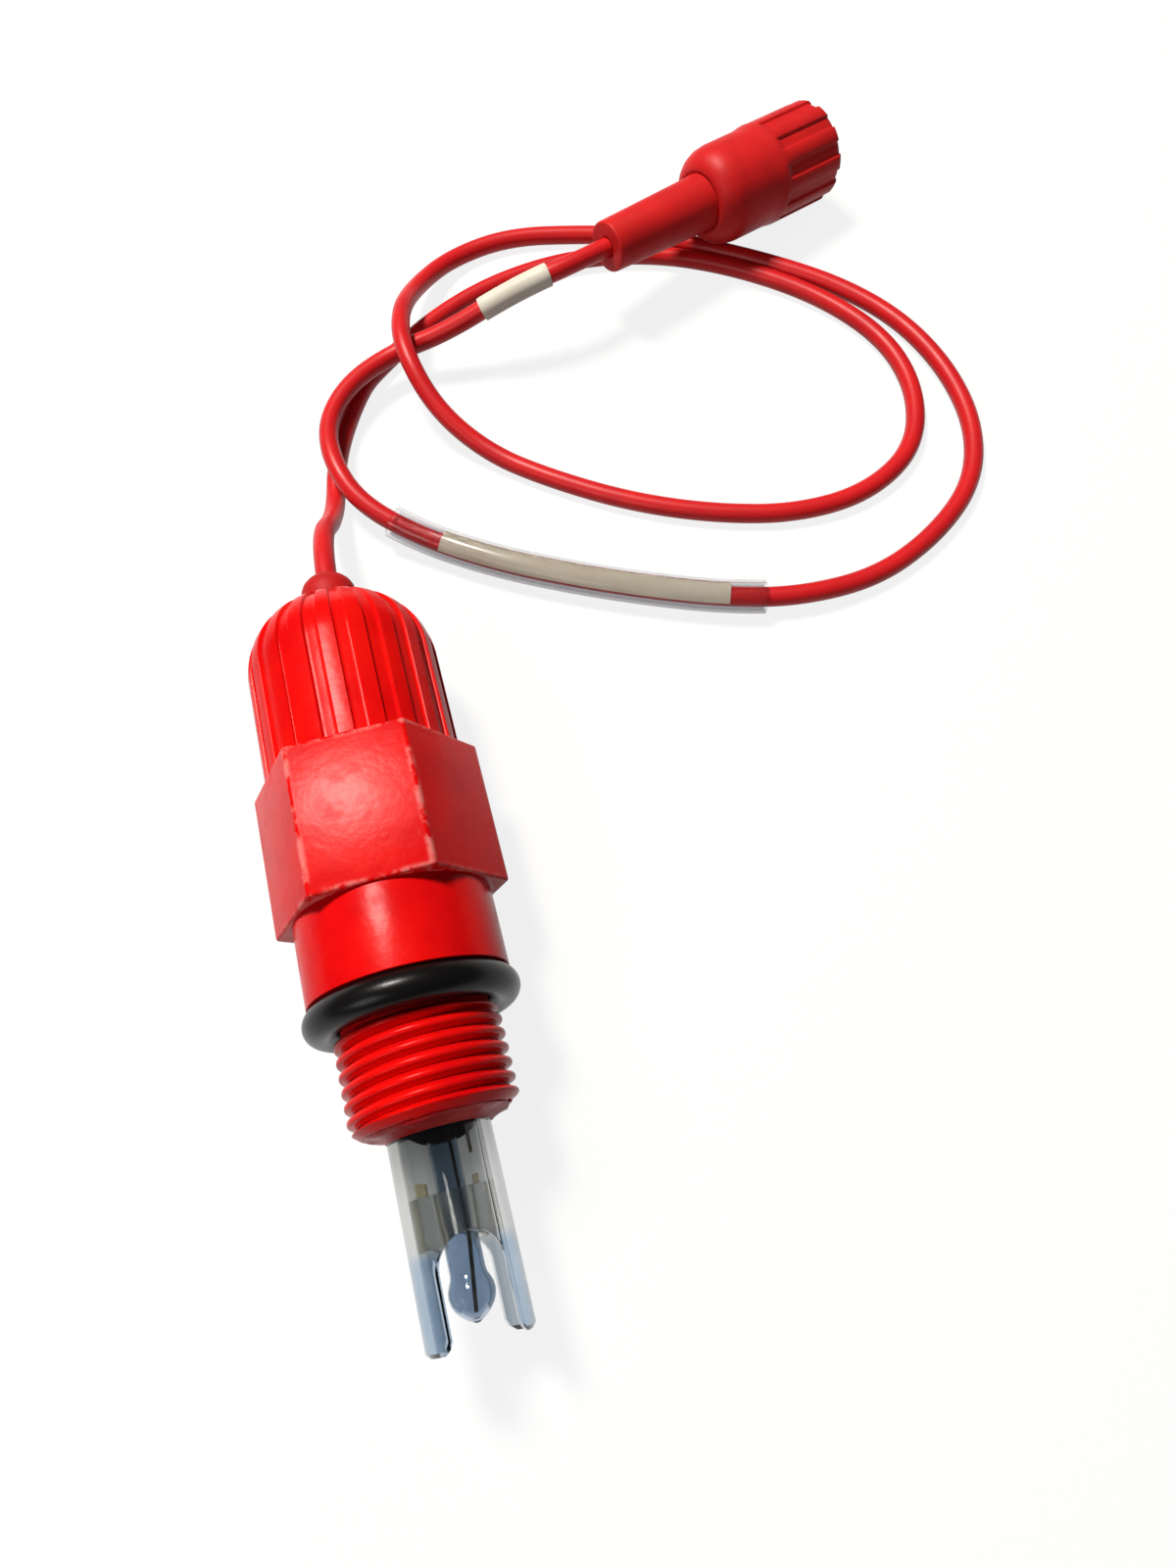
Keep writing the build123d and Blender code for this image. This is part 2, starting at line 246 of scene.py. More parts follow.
def fluted(name, rows, columns, count, firstAngle, depth):
    # spun in even columns; each is then turned to its own angle and sunk by its row's share
    total = count * len(columns)
    obj = spun(name, [row[:2] for row in rows], total)
    for vertex in obj.data.vertices:
        x, y, z = vertex.co / mm
        column = round(math.atan2(y, x) / math.tau * total) % total
        radius = math.hypot(x, y)
        r, u, inR, inU, share = min(rows, key=lambda row: (row[0] - radius) ** 2 + (row[1] - z) ** 2)
        offset, sink = columns[column % len(columns)]
        angle = math.radians(firstAngle + 360 / count * (column // len(columns)) + offset)
        sunk = depth * sink * share
        vertex.co = Vector(((r + inR * sunk) * math.cos(angle), (r + inR * sunk) * math.sin(angle),
                            u + inU * sunk)) * mm
    return obj


def cylinder(radius, low, high, sides, turn=0.0):
    bpy.ops.object.select_all(action="DESELECT")
    bpy.ops.mesh.primitive_cylinder_add(
        vertices=sides, radius=radius * mm, depth=(high - low) * mm,
        location=(0, 0, (low + high) * mm / 2), rotation=(0, 0, math.radians(turn)))
    bpy.ops.object.transform_apply(location=True, rotation=True, scale=True)
    return bpy.context.active_object


def arc(centre, radius, start, end, count):
    found = []
    for i in range(count + 1):
        angle = math.radians(start + (end - start) * i / count)
        found.append((centre[0] + radius * math.cos(angle), centre[1] + radius * math.sin(angle)))
    return found


def softEdges(obj, width, segments=3, angle=35):
    modify(obj, "BEVEL", width=width * mm, segments=segments, limit_method="ANGLE",
           angle_limit=math.radians(angle), use_clamp_overlap=True, harden_normals=False)


def cut(obj, cutter):
    modify(obj, "BOOLEAN", object=cutter, operation="DIFFERENCE", solver="EXACT")
    bpy.data.objects.remove(cutter)


def joined(name, parts):
    bpy.ops.object.select_all(action="DESELECT")
    for part in parts:
        part.select_set(True)
    bpy.context.view_layer.objects.active = parts[0]
    bpy.ops.object.join()
    parts[0].name = name
    return parts[0]


def settle(obj, place, material, body, nodes=(), angle=35):
    activate(obj)
    obj.data.transform(place)
    obj.data.materials.clear()
    obj.data.materials.append(material)
    bpy.ops.object.shade_smooth_by_angle(angle=math.radians(angle))
    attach(obj, body)
    if nodes:
        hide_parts(*nodes)
    return obj


# finishes

def probeSpace(finish):
    x, y, z = finish.parts()
    return x, y - probeZero, z - axisHeight


def redPlastic(name, colour, dark, rough, scuffs, hexWear, shine=0.08):
    f = Finish(name)
    x, u, z = probeSpace(f)
    cloudy = f.noise(90.0, 3.0).between(0.35, 0.7)
    base = f.blend(cloudy, colour, dark)
    fine = f.noise(1400.0, 2.0)
    blotch = f.noise(240.0, 4.0, 0.6).between(0.5, 0.75)
    scratch = f.noise(900.0, 2.0, 0.7, stretch=(1.0, 0.12, 1.0)).between(0.66, 0.74)
    wear = scratch * blotch * scuffs
    if hexWear:
        radius = (x * x + z * z).power(0.5)
        angle = f.node("ShaderNodeMath", {"operation": "ARCTAN2"}, {0: z, 1: x})
        wedge = (angle * (6 / math.tau)).maths("FRACT", angle * (6 / math.tau) + 10.5) - 0.5
        fromCorner = abs(wedge) * (math.tau / 6) * radius
        onHex = u.between(-0.4 * mm, 0.0) * (1 - u.between(20.3 * mm, 20.7 * mm))
        onHex = onHex * radius.between(13.2 * mm, 13.4 * mm)
        ends = u.between(0.9 * mm, 0.1 * mm) + u.between(19.4 * mm, 20.2 * mm)
        ragged = f.noise(420.0, 4.0, 0.65).between(0.42, 0.62)
        edge = (fromCorner.between(0.75 * mm, 0.15 * mm) + ends).smallest(1.0) * onHex * ragged
        wear = (wear * (0.4 + onHex) + edge * 0.9).smallest(1.0)
    pale = rgb(0.80, 0.30, 0.27)
    base = f.blend(wear * 0.6, base, pale)
    roughness = rough + blotch * 0.10 + wear * 0.25 + fine * 0.04
    normal = f.bump(fine, 0.12, 0.00012, f.bump(f.noise(260.0, 2.0), 0.10, 0.0005))
    return f.surface(Base_Color=base, Roughness=roughness, Normal=normal, Specular_IOR_Level=shine)


def softPlastic(name, colour, dark, rough, grain, grainBump, shine=0.2):
    f = Finish(name)
    cloudy = f.noise(140.0, 3.0).between(0.3, 0.75)
    base = f.blend(cloudy, colour, dark)
    grains = f.noise(grain, 2.0)
    roughness = rough + cloudy * 0.08
    normal = f.bump(grains, grainBump, 0.0001)
    return f.surface(Base_Color=base, Roughness=roughness, Normal=normal, Specular_IOR_Level=shine)


def blackRubber():
    f = Finish("ringRubber")
    dusty = f.noise(380.0, 4.0, 0.6).between(0.55, 0.8)
    base = f.blend(dusty * 0.5, rgb(0.004, 0.0035, 0.0035), rgb(0.012, 0.012, 0.012))
    normal = f.bump(f.noise(2200.0, 2.0), 0.15, 0.00008)
    return f.surface(Base_Color=base, Roughness=0.30 + dusty * 0.2, Normal=normal, Specular_IOR_Level=0.22)


def clearPlastic(name, tint, ior, rough):
    f = Finish(name)
    smear = f.noise(160.0, 3.0).between(0.45, 0.8)
    base = f.blend(smear * 0.3, tint, rgb(0.86, 0.90, 0.95))
    normal = f.bump(f.noise(130.0, 2.0), 0.04, 0.0004)
    return f.surface(Base_Color=base, Roughness=rough + smear * 0.03, Normal=normal, IOR=ior,
                     Transmission_Weight=1.0)


def sleevePlastic():
    # painted shade: the clear sleeve is tinted dark grey along its lower side
    f = Finish("labelSleeve")
    height = f.parts()[2]
    # painted shade: dark grey low on the sleeve by height, pale above
    base = f.blend(height.between(2.2 * mm, 3.8 * mm), rgb(0.42, 0.40, 0.42), rgb(0.93, 0.92, 0.92))
    smear = f.noise(300.0, 3.0).between(0.45, 0.8)
    return f.surface(Base_Color=base, Roughness=0.12 + smear * 0.06, IOR=1.30, Transmission_Weight=1.0)


def tubePlastic():
    # painted view of the dark blue bench through the clear tube: grey towards the nose, clearer at the holder,
    # bluish in the two prongs; painted shade darkens its lower side
    f = Finish("tubeClear")
    x, u, z = probeSpace(f)
    smear = f.noise(160.0, 3.0).between(0.45, 0.8)
    ahead = u.between(-27.5 * mm, -36.5 * mm)
    prong = u.between(-40.4 * mm, -42.6 * mm)
    # painted view of the dark bench seen through the clear tube, along its length and in the prongs
    base = f.blend(ahead, rgb(0.30, 0.31, 0.30), rgb(0.60, 0.61, 0.60))
    base = f.blend(prong, base, rgb(0.34, 0.44, 0.55))
    # painted shade: the lower side of the tube is tinted darker by height
    base = f.blend(z.between(1.5 * mm, -3.5 * mm) * 0.6, base, rgb(0.34, 0.36, 0.36))
    base = f.blend(smear * 0.2, base, rgb(0.80, 0.84, 0.88))
    normal = f.bump(f.noise(130.0, 2.0), 0.04, 0.0004)
    return f.surface(Base_Color=base, Roughness=0.02 + smear * 0.03, Normal=normal, IOR=1.45,
                     Transmission_Weight=1.0)


def metal(name, colour, rough):
    f = Finish(name)
    streak = f.noise(600.0, 3.0, 0.6, stretch=(1.0, 1.0, 0.2)).between(0.3, 0.7)
    base = f.blend(streak, colour, tuple(0.86 * c for c in colour[:3]) + (1.0,))
    return f.surface(Base_Color=base, Roughness=rough + streak * 0.1, Metallic=1.0)


finishes = {
    "body": redPlastic("bodyRed", rgb(0.72, 0.004, 0.003), rgb(0.58, 0.002, 0.004), 0.24, 0.5, True),
    "cap": redPlastic("capRed", rgb(0.72, 0.005, 0.003), rgb(0.60, 0.002, 0.003), 0.24, 0.15, False),
    "glue": redPlastic("glueRed", rgb(0.42, 0.003, 0.006), rgb(0.60, 0.08, 0.07), 0.30, 0.7, False),
    "grommet": softPlastic("grommetRed", rgb(0.50, 0.010, 0.010), rgb(0.40, 0.006, 0.008), 0.52, 900.0, 0.2),
    "cable": softPlastic(
        "cableRed", rgb(0.62, 0.012, 0.014), rgb(0.54, 0.008, 0.012), 0.36, 1200.0, 0.12, 0.3),
    "coral": softPlastic(
        "plugCoral", rgb(0.60, 0.014, 0.014), rgb(0.50, 0.010, 0.011), 0.44, 1100.0, 0.22, 0.2),
    "rubber": blackRubber(),
    "tube": tubePlastic(),
    # painted view of the dark bench: the bulb glass's dark blue tint stands in for what shows through it
    "glass": clearPlastic("bulbGlass", rgb(0.40, 0.48, 0.58), 1.50, 0.0),
    "holder": clearPlastic("holderClear", rgb(0.80, 0.82, 0.80), 1.42, 0.25),
    "cream": softPlastic("junctionCream", rgb(0.95, 0.88, 0.62), rgb(0.88, 0.78, 0.52), 0.6, 1500.0, 0.3),
    "wire": metal("wireTan", rgb(0.50, 0.36, 0.20), 0.35),
    "nickel": metal("nickelPlate", rgb(0.62, 0.61, 0.58), 0.22),
    "brass": metal("goldPlate", rgb(0.78, 0.56, 0.24), 0.2),
    "white": softPlastic("coreWhite", rgb(0.75, 0.75, 0.72), rgb(0.66, 0.66, 0.62), 0.35, 900.0, 0.1),
    "marker": softPlastic("markerIvory", rgb(0.70, 0.66, 0.56), rgb(0.62, 0.58, 0.48), 0.42, 900.0, 0.1),
    "card": softPlastic("labelCard", rgb(0.84, 0.77, 0.63), rgb(0.78, 0.70, 0.56), 0.6, 1600.0, 0.2),
    "sleeve": sleevePlastic(),
}
print("finishes", len(finishes))


# camera, as it stood over the bench
view = {"focal": 1070.0, "width": 1200.0, "height": 1600.0, "place": (17.89, -43.859, 146.155),
        "right": (0.964999, -0.261153, -0.024), "down": (-0.250231, -0.889507, -0.382311),
        "ahead": (0.078493, 0.374936, -0.923722)}


def makeCamera():
    data = bpy.data.cameras.new("camera")
    data.sensor_width = 36.0
    data.lens = data.sensor_width * view["focal"] / view["height"]
    data.clip_start = 0.005
    obj = bpy.data.objects.new("camera", data)
    right, down, ahead = (Vector(view[key]) for key in ("right", "down", "ahead"))
    turn = Matrix((right, -down, -ahead)).transposed().to_4x4()
    obj.matrix_world = Matrix.Translation(Vector(view["place"]) * mm) @ turn
    scene.collection.objects.link(obj)
    scene.camera = obj


makeCamera()

# the lead: the same corners as in the solids, in millimetres
lead = {"diameter": 3.2, "length": 0.657, "marker": (49, 50), "label": (38, 43)}
plugAhead = Vector(plugPlace.col[2][:3])
plugRear = Vector(plug["rear"])
route = [
    (0, 44, 13.8), (0, 60.5, 13.8), (2.1, 72.5, 1.9), (4.3, 85.3, 1.9), (10.9, 98.6, 1.9),
    (15.5, 103.3, 1.6), (27, 111.8, 1.6), (40, 117.3, 1.6), (55, 119, 1.6),
    (70, 116, 1.6), (83.5, 108.6, 1.6), (96, 97.6, 1.6), (104, 84.5, 1.6), (105, 71.5, 1.6),
    (100, 59.5, 1.6), (89, 53, 1.6), (76, 52.4, 1.6), (63, 56.2, 1.6), (50.5, 62.3, 1.6),
    (39, 70.5, 1.6), (30, 78.5, 1.8), (23, 87, 5.5), (20, 97, 10), (21, 107, 9), (25, 117, 4.5),
    (33, 125.5, 1.7), (45, 128, 1.6), (59, 124.5, 1.6), (70.5, 120.5, 1.6), (79.8, 114.8, 1.6),
    (90.8, 107, 1.6), (101, 98, 1.6), (108.5, 87, 1.6), (112, 74, 1.6), (111.5, 61, 1.6),
    (106.5, 50, 1.6), (96.5, 42, 1.6), (84.5, 37, 1.6), (71, 36.4, 2.7), (60, 39.4, 2.7),
    (49, 44, 2.7), (38, 49.4, 2.7), (26.5, 55.9, 2.7), (15.5, 64, 2.7), (6.8, 71.8, 5),
    (3.9, 80, 7), (4.4, 89.8, 5.8), (10, 97.5, 5.6), (19, 102.3, 5.2), (28, 101.6, 7.6),
    (41, 102, 13), tuple(plugRear - plugAhead * 5.9), tuple(plugRear + plugAhead * 5.5)]


def routeCurve(name, points):
    data = bpy.data.curves.new(name, "CURVE")
    data.dimensions = "3D"
    data.resolution_u = 12
    spline = data.splines.new("NURBS")
    spline.points.add(len(points) - 1)
    for point, (x, y, z) in zip(spline.points, points):
        point.co = (x * mm, y * mm, z * mm, 1.0)
    spline.order_u = 3
    spline.use_endpoint_u = True
    obj = bpy.data.objects.new(name, data)
    scene.collection.objects.link(obj)
    return obj


def routeLine(points):
    guide = routeCurve("guide", points)
    mesh = bpy.data.meshes.new_from_object(guide)
    line = [v.co.copy() for v in mesh.vertices]
    bpy.data.objects.remove(guide)
    bpy.data.meshes.remove(mesh)
    return line


leadLine = routeLine(route)


def makeLead():
    cable = routeCurve("cable", route)
    cable.data.bevel_depth = lead["diameter"] * mm / 2
    cable.data.bevel_resolution = 7
    cable.data.use_fill_caps = True
    cable.data.materials.append(finishes["cable"])
    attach(cable, rootBody)
    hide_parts("lead_cable")
    return cable


cable = makeLead()
print("lead points", len(route), len(leadLine))


def nearestIndex(target):
    return min(range(len(leadLine)), key=lambda i: (leadLine[i] - target).length)


def spanLine(corners):
    first, last = corners
    start = (Vector(route[first]) + Vector(route[first + 1])) * mm / 2
    end = (Vector(route[last]) + Vector(route[last + 1])) * mm / 2
    return leadLine[nearestIndex(start):nearestIndex(end) + 1]


def bentAlong(obj, line):
    # the straight piece stands along z with one ring of points to each point of the line
    up = Vector((0, 0, 1))
    for vertex in obj.data.vertices:
        x, y, z = vertex.co
        index = round(z / mm)
        ahead = (line[min(index + 1, len(line) - 1)] - line[max(index - 1, 0)]).normalized()
        side = ahead.cross(up).normalized()
        vertex.co = line[index] + side * x + side.cross(ahead) * y
    cleanMesh(obj, 1e-7)
    return obj


def sleeveAlong(name, line, outer, inner, sides):
    count = range(len(line))
    walls = [(outer, step) for step in count] + [(inner, step) for step in reversed(count)]
    return bentAlong(spun(name, walls, sides), line)


def cardAlong(name, line):
    # an open card: its outer face is spun, and Solidify gives it its thickness
    start, end = labels["cardArc"]
    outline = [(labels["cardOuter"], step) for step in range(len(line))]
    obj = spun(name, outline, labels["cardSides"], False, angle=end - start)
    obj.data.transform(Matrix.Rotation(math.radians(90 - end), 4, "Z"))
    modify(obj, "SOLIDIFY", thickness=(labels["cardOuter"] - labels["cardInner"]) * mm, offset=-1.0)
    return bentAlong(obj, line)


labels = {"sleeveOuter": 2.65, "sleeveInner": 2.2, "sleeveSides": 48, "cardOuter": 2.15, "cardInner": 1.64,
          "cardArc": (-65.0, 110.0), "cardSides": 40, "cardTrim": (6, 9), "markerOuter": 1.95,
          "markerInner": 1.61, "markerSides": 40, "markerEdge": 0.12}


def makeLabels():
    whole = Matrix.Identity(4)
    marker = sleeveAlong("markerSleeve", spanLine(lead["marker"]), labels["markerOuter"],
                         labels["markerInner"], labels["markerSides"])
    softEdges(marker, labels["markerEdge"], 2, 60)
    settle(marker, whole, finishes["marker"], rootBody, ["marker_sleeve"])
    line = spanLine(lead["label"])
    sleeve = sleeveAlong("labelSleeve", line, labels["sleeveOuter"], labels["sleeveInner"],
                         labels["sleeveSides"])
    settle(sleeve, whole, finishes["sleeve"], rootBody, ["label_sleeve"])
    before, behind = labels["cardTrim"]
    card = cardAlong("labelCard", line[before:-behind])
    settle(card, whole, finishes["card"], rootBody, ["label_insert"])
    return [marker, sleeve, card]


leadPieces = makeLabels()
print("labels made")

# threaded body
body = {"threadTop": 10.4775, "threadRoot": 9.3155, "pitch": 1.814, "crest": -20.75, "turns": 8,
        "threadBack": -15.3, "relief": 9.35, "collar": 12.95, "collarEnd": -10.8, "bore": 6.37,
        "counterbore": 10.2, "floor": 9.5, "seatRadius": 10.37, "seatLow": 1.0, "seatHigh": 8.2,
        "tipRadius": 8.7, "tipShoulder": 9.2, "tipRise": 0.45, "coreEdge": 0.35, "hexEdge": 0.38}
envelope = {"front": -26.3, "frontSlope": 1.25, "frontLeast": 8.7, "back": -15.7, "backSlope": 2.6,
            "backLeast": 9.1}


def threadEnvelope(u):
    front, back = envelope["front"], envelope["back"]
    if u < front:
        return max(envelope["frontLeast"], body["threadTop"] + (u - front) * envelope["frontSlope"])
    if u > back:
        return max(envelope["backLeast"], body["threadTop"] - (u - back) * envelope["backSlope"])
    return body["threadTop"]


def makeThread():
    root, top, half = body["threadRoot"] - 0.12, body["threadTop"], body["pitch"] / 2
    start = body["crest"] - body["turns"] / 2 * body["pitch"]
    flank = [(root, half - 0.01), (root + 0.18, half - 0.03), (root + 0.30, half - 0.10),
             (root + 0.55, half - 0.24), (top - 0.38, 0.50), (top - 0.18, 0.40), (top - 0.06, 0.27),
             (top, 0.11)]
    shape = [(r, start - u) for r, u in flank] + [(r, start + u) for r, u in reversed(flank)]
    rib = spun("rib", shape, 96, True, body["turns"], body["pitch"])
    activate(rib)
    bpy.ops.object.mode_set(mode="EDIT")
    bpy.ops.mesh.select_all(action="DESELECT")
    bpy.ops.mesh.select_non_manifold()
    bpy.ops.mesh.edge_face_add()
    bpy.ops.mesh.select_all(action="SELECT")
    bpy.ops.mesh.normals_make_consistent(inside=False)
    bpy.ops.object.mode_set(mode="OBJECT")
    low, high = probe["noseEnd"] + 0.06, body["threadBack"] + 0.35
    for vertex in rib.data.vertices:
        x, y, z = vertex.co
        radius = math.hypot(x, y)
        allowed = min(radius, threadEnvelope(z / mm) * mm)
        vertex.co = (x * allowed / radius, y * allowed / radius, min(max(z / mm, low), high) * mm)
    return rib


def makeBody():
    end, back, rear = probe["noseEnd"], body["collarEnd"], probe["hexLength"]
    core = spun("core", [
        (body["bore"], end), (body["tipRadius"], end), (body["tipShoulder"], end + body["tipRise"]),
        (body["threadRoot"], end + 2 * body["tipRise"]),
        (body["threadRoot"], body["threadBack"]), (body["relief"], body["threadBack"] + 0.3),
        (body["relief"], back), (body["collar"] - 0.05, back), (body["collar"], back + 0.05),
        (body["collar"], body["seatLow"]), (body["seatRadius"], body["seatLow"]),
        (body["seatRadius"], body["seatHigh"]), (body["bore"], body["seatHigh"])], 160)
    softEdges(core, body["coreEdge"], 3, 50)
    hexagon = cylinder(probe["hexFlats"] / math.sqrt(3), 0, rear, 6, 30)
    cut(hexagon, cylinder(body["bore"], -1.0, body["floor"], 128))
    cut(hexagon, cylinder(body["counterbore"], body["floor"], rear + 1, 128))
    softEdges(hexagon, body["hexEdge"], 4, 50)
    whole = joined("threadedBody", [core, hexagon, makeThread()])
    return settle(whole, probePlace, finishes["body"], rootBody, ["probe_body"], 32)


makeBody()
print("threaded body made")

# nose ring and glue bead
ring = {"mean": 11.6, "cord": 2.2, "u": -13.02}


def makeRing():
    bpy.ops.object.select_all(action="DESELECT")
    bpy.ops.mesh.primitive_torus_add(
        major_radius=ring["mean"] * mm, minor_radius=ring["cord"] * mm, major_segments=160, minor_segments=40,
        location=(0, 0, ring["u"] * mm))
    obj = bpy.context.active_object
    obj.name = "noseRing"
    bpy.ops.object.transform_apply(location=True, rotation=True, scale=True)
    return settle(obj, probePlace, finishes["rubber"], rootBody, ["body_o_ring"])


glue = {"seed": 5, "bore": 6.37, "rest": 6.45, "lumps": 0.16, "ripples": 0.10, "grain": 0.05,
        "slope": [(9.0, 0.02), (8.7, -0.18), (7.9, -0.38), (7.1, -0.62), (6.6, -0.95), (6.37, -1.15)]}


def makeGlue():
    draw = random.Random(glue["seed"])
    end = probe["noseEnd"]
    slope = [(r, end + u) for r, u in glue["slope"]]
    obj = spun("glueBead", [(glue["bore"], end + 0.02)] + slope, 120)
    for vertex in obj.data.vertices:
        x, y, z = vertex.co
        angle = math.atan2(y, x)
        if z < (end - 0.05) * mm and math.hypot(x, y) > glue["rest"] * mm:
            swell = glue["lumps"] * math.sin(3 * angle + 1) + glue["ripples"] * math.sin(7 * angle)
            swell += draw.uniform(-glue["grain"], glue["grain"])
            vertex.co.z -= swell * mm
    return settle(obj, probePlace, finishes["glue"], rootBody, ["glue_bead"], 80)


makeRing()
makeGlue()
print("ring and glue made")

# fluted cap
cap = {"radius": 13.35, "bottom": 20.3, "straight": 15.9, "dome": 11.5, "domeSweep": 50.0, "crown": 20.0,
       "crownSweep": 17.0, "flutes": 20, "depth": 0.45, "ribCentre": 2.2, "hole": 3.05, "holeEdge": 0.35,
       "floor": 43.5, "floorRadius": 5.2, "wallTop": 36.0, "boreRadius": 8.5, "spigotEnd": 12.3,
       "spigotRadius": 10.17, "fadeFrom": 4.9, "fadeOver": 0.8}


def capOutline():
    # points with their inward direction and how deep the flutes are there
    bottom, top = cap["bottom"], cap["bottom"] + cap["straight"]
    found = []
    for step in range(9):
        found.append((cap["radius"], bottom + (top - bottom) * step / 8, -1.0, 0.0, 1.0))
    centre = (cap["radius"] - cap["dome"], top)
    for step in range(1, 19):
        angle = math.radians(cap["domeSweep"] * step / 18)
        found.append((centre[0] + cap["dome"] * math.cos(angle), centre[1] + cap["dome"] * math.sin(angle),
                      -math.cos(angle), -math.sin(angle), 1.0))
    angle = math.radians(cap["domeSweep"])
    endR, endU = found[-1][0], found[-1][1]
    centre = (endR - cap["crown"] * math.cos(angle), endU - cap["crown"] * math.sin(angle))
    for step in range(1, 11):
        angle = math.radians(cap["domeSweep"] + cap["crownSweep"] * step / 10)
        r = centre[0] + cap["crown"] * math.cos(angle)
        fade = min(1.0, max(0.0, (r - cap["fadeFrom"]) / cap["fadeOver"]))
        u = centre[1] + cap["crown"] * math.sin(angle)
        found.append((r, u, -math.cos(angle), -math.sin(angle), fade))
    crownU = found[-1][1]
    inside = [(cap["hole"] + cap["holeEdge"], crownU), (cap["hole"], crownU - 0.3),
              (cap["hole"], cap["floor"]), (cap["floorRadius"], cap["floor"]),
              (cap["boreRadius"], cap["wallTop"]), (cap["boreRadius"], cap["spigotEnd"]),
              (cap["spigotRadius"], cap["spigotEnd"]), (cap["spigotRadius"], bottom)]
    found += [(r, u, 0.0, 0.0, 0.0) for r, u in inside]
    return found


def makeCap():
    # each flute's columns: angle from the rib's middle, and share of the depth
    columns = [(-4.5, 0.12), (-4.25, 0.0), (-3.0, 0.0), (0.0, -0.02), (3.0, 0.0), (4.25, 0.0), (4.5, 0.12),
               (4.95, 0.9), (5.3, 1.0), (7.0, 1.0), (9.0, 1.0), (11.0, 1.0), (12.7, 1.0), (13.05, 0.9)]
    obj = fluted("flutedCap", capOutline(), columns, cap["flutes"], cap["ribCentre"], cap["depth"])
    return settle(obj, probePlace, finishes["cap"], rootBody, ["fluted_cap"], 40)


grommet = {"bore": 1.62, "flange": 4.8, "flangeLow": 42.0, "flangeHigh": 43.5, "neck": 3.0, "rim": 4.0,
           "edge": 0.15, "crown": [(4.0, 50.2), (3.9, 50.9), (3.6, 51.6), (3.1, 52.2), (2.5, 52.7),
                                   (1.9, 53.0), (1.62, 52.9)]}


def makeGrommet():
    crownU = capOutline()[36][1]
    obj = spun("grommet", [
        (grommet["bore"], grommet["flangeLow"]), (grommet["flange"], grommet["flangeLow"]),
        (grommet["flange"], grommet["flangeHigh"]), (grommet["neck"], grommet["flangeHigh"]),
        (grommet["neck"], crownU), (grommet["rim"], crownU)] + grommet["crown"], 96)
    softEdges(obj, grommet["edge"], 2, 50)
    return settle(obj, probePlace, finishes["grommet"], rootBody, ["cable_grommet"])


makeCap()
makeGrommet()
print("cap and grommet made")

# clear shaft, glass bulb and what is in the tube
shaft = {"outer": 6.35, "inner": 5.15, "tip": -51.8, "top": 8.0, "slotHalf": 3.8, "slotCentre": -43.85,
         "slotTurn": 16.0, "mouthHalf": 4.7, "mouthDepth": 1.3, "mouthFlare": 0.35, "tipChamfer": 0.45,
         "edge": 0.28}
holder = {"bore": 2.13, "outer": 5.13, "low": -41.1, "high": -35.5, "edge": 0.12}
bulb = {"stem": 2.1, "stemBore": 1.78, "top": 9.0,
        "outside": [(0, -49.75), (0.28, -49.72), (0.6, -49.5), (1.2, -49.15), (1.8, -48.65), (2.3, -48.05),
                    (2.62, -47.35), (2.75, -46.6), (2.68, -45.9), (2.42, -45.25), (2.18, -44.75),
                    (2.1, -44.2)],
        "inside": [(1.78, -44.3), (1.84, -44.85), (2.08, -45.4), (2.34, -46.0), (2.4, -46.6),
                   (2.28, -47.25), (1.98, -47.85), (1.5, -48.4), (0.95, -48.85), (0.4, -49.15),
                   (0, -49.25)]}


def slotCutter():
    half, centre, low = shaft["slotHalf"], shaft["slotCentre"], shaft["tip"]
    sideways = [(half, centre)] + arc((0, centre), half, 5, 175, 34) + [(-half, centre)]
    mouth, flare = shaft["mouthHalf"], half + shaft["mouthFlare"]
    lower = [(-half, low + shaft["mouthDepth"]), (-flare, low + 0.5), (-mouth, low - 0.05),
             (-mouth, low - 2), (mouth, low - 2), (mouth, low - 0.05), (flare, low + 0.5),
             (half, low + shaft["mouthDepth"])]
    outline = sideways + lower
    depth = 12.0
    obj = drawn("slotCutter", outline[-1:] + outline)
    bpy.ops.object.mode_set(mode="EDIT")
    bpy.ops.mesh.select_all(action="SELECT")
    bpy.ops.mesh.edge_face_add()
    bpy.ops.mesh.extrude_region_move(TRANSFORM_OT_translate={"value": (0, 2 * depth * mm, 0)})
    bpy.ops.object.mode_set(mode="OBJECT")
    turn = Matrix.Rotation(math.radians(shaft["slotTurn"]), 4, "Z")
    obj.data.transform(turn @ Matrix.Translation((0, -depth * mm, 0)))
    cleanMesh(obj)
    return obj


def makeShaft():
    tip, outer, inner = shaft["tip"], shaft["outer"], shaft["inner"]
    obj = spun("shaftTube", [(inner, tip), (outer - shaft["tipChamfer"], tip), (outer, tip + 0.5), (outer, shaft["top"]),
                             (inner, shaft["top"])], 144)
    cut(obj, slotCutter())
    softEdges(obj, shaft["edge"], 3, 50)
    return settle(obj, probePlace, finishes["tube"], rootBody, ["shaft_tube"], 40)


def makeHolder():
    bore, outer, low, high = (holder[key] for key in ("bore", "outer", "low", "high"))
    obj = spun("bulbHolder", [(bore, low), (outer, low), (outer, high), (bore, high)], 120)
    cut(obj, slotCutter())
    softEdges(obj, holder["edge"], 2, 50)
    return settle(obj, probePlace, finishes["holder"], rootBody, ["end_plug"], 40)


def makeBulb():
    stem = [(bulb["stem"], bulb["top"]), (bulb["stemBore"], bulb["top"])]
    obj = spun("glassBulb", bulb["outside"] + stem + bulb["inside"], 96, False)
    return settle(obj, probePlace, finishes["glass"], rootBody, ["glass_bulb"], 60)


def dress(node, finish):
    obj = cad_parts[node]
    obj.data.materials.clear()
    obj.data.materials.append(finishes[finish])


